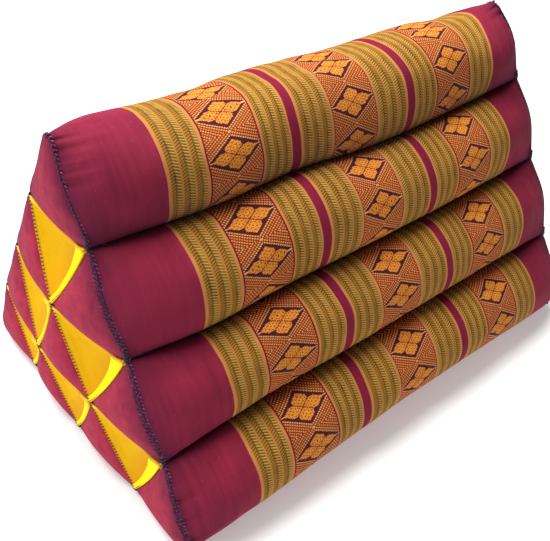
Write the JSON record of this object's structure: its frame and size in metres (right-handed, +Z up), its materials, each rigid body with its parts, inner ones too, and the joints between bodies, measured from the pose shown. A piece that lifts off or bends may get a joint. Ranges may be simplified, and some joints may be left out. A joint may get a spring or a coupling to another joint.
{
  "type": "thai triangle cushion",
  "caption": "Firm three-sided bolster cushion of stuffed tubes sewn side by side, with rolled faces, deep sewn channels and bright gussets in its ends.",
  "frame": {"origin": "centre of the base, on the plane that the cushion stands on", "axes": "+X along the tubes, +Y from the front face to the back face, +Z up to the ridge"},
  "size_m": [0.5178, 0.3406, 0.2963],
  "materials": {
    "cover": "matt plain-woven cotton with woven gold and orange bands",
    "gusset": "matt plain-woven yellow cotton"
  },
  "bodies": {
    "root": {"cushion": "cover", "left_gusset_1": "gusset", "left_gusset_2": "gusset", "left_gusset_3": "gusset", "left_gusset_4": "gusset", "left_gusset_5": "gusset", "left_gusset_6": "gusset", "right_gusset_1": "gusset", "right_gusset_2": "gusset", "right_gusset_3": "gusset", "right_gusset_4": "gusset", "right_gusset_5": "gusset", "right_gusset_6": "gusset"}
  },
  "joints": []
}
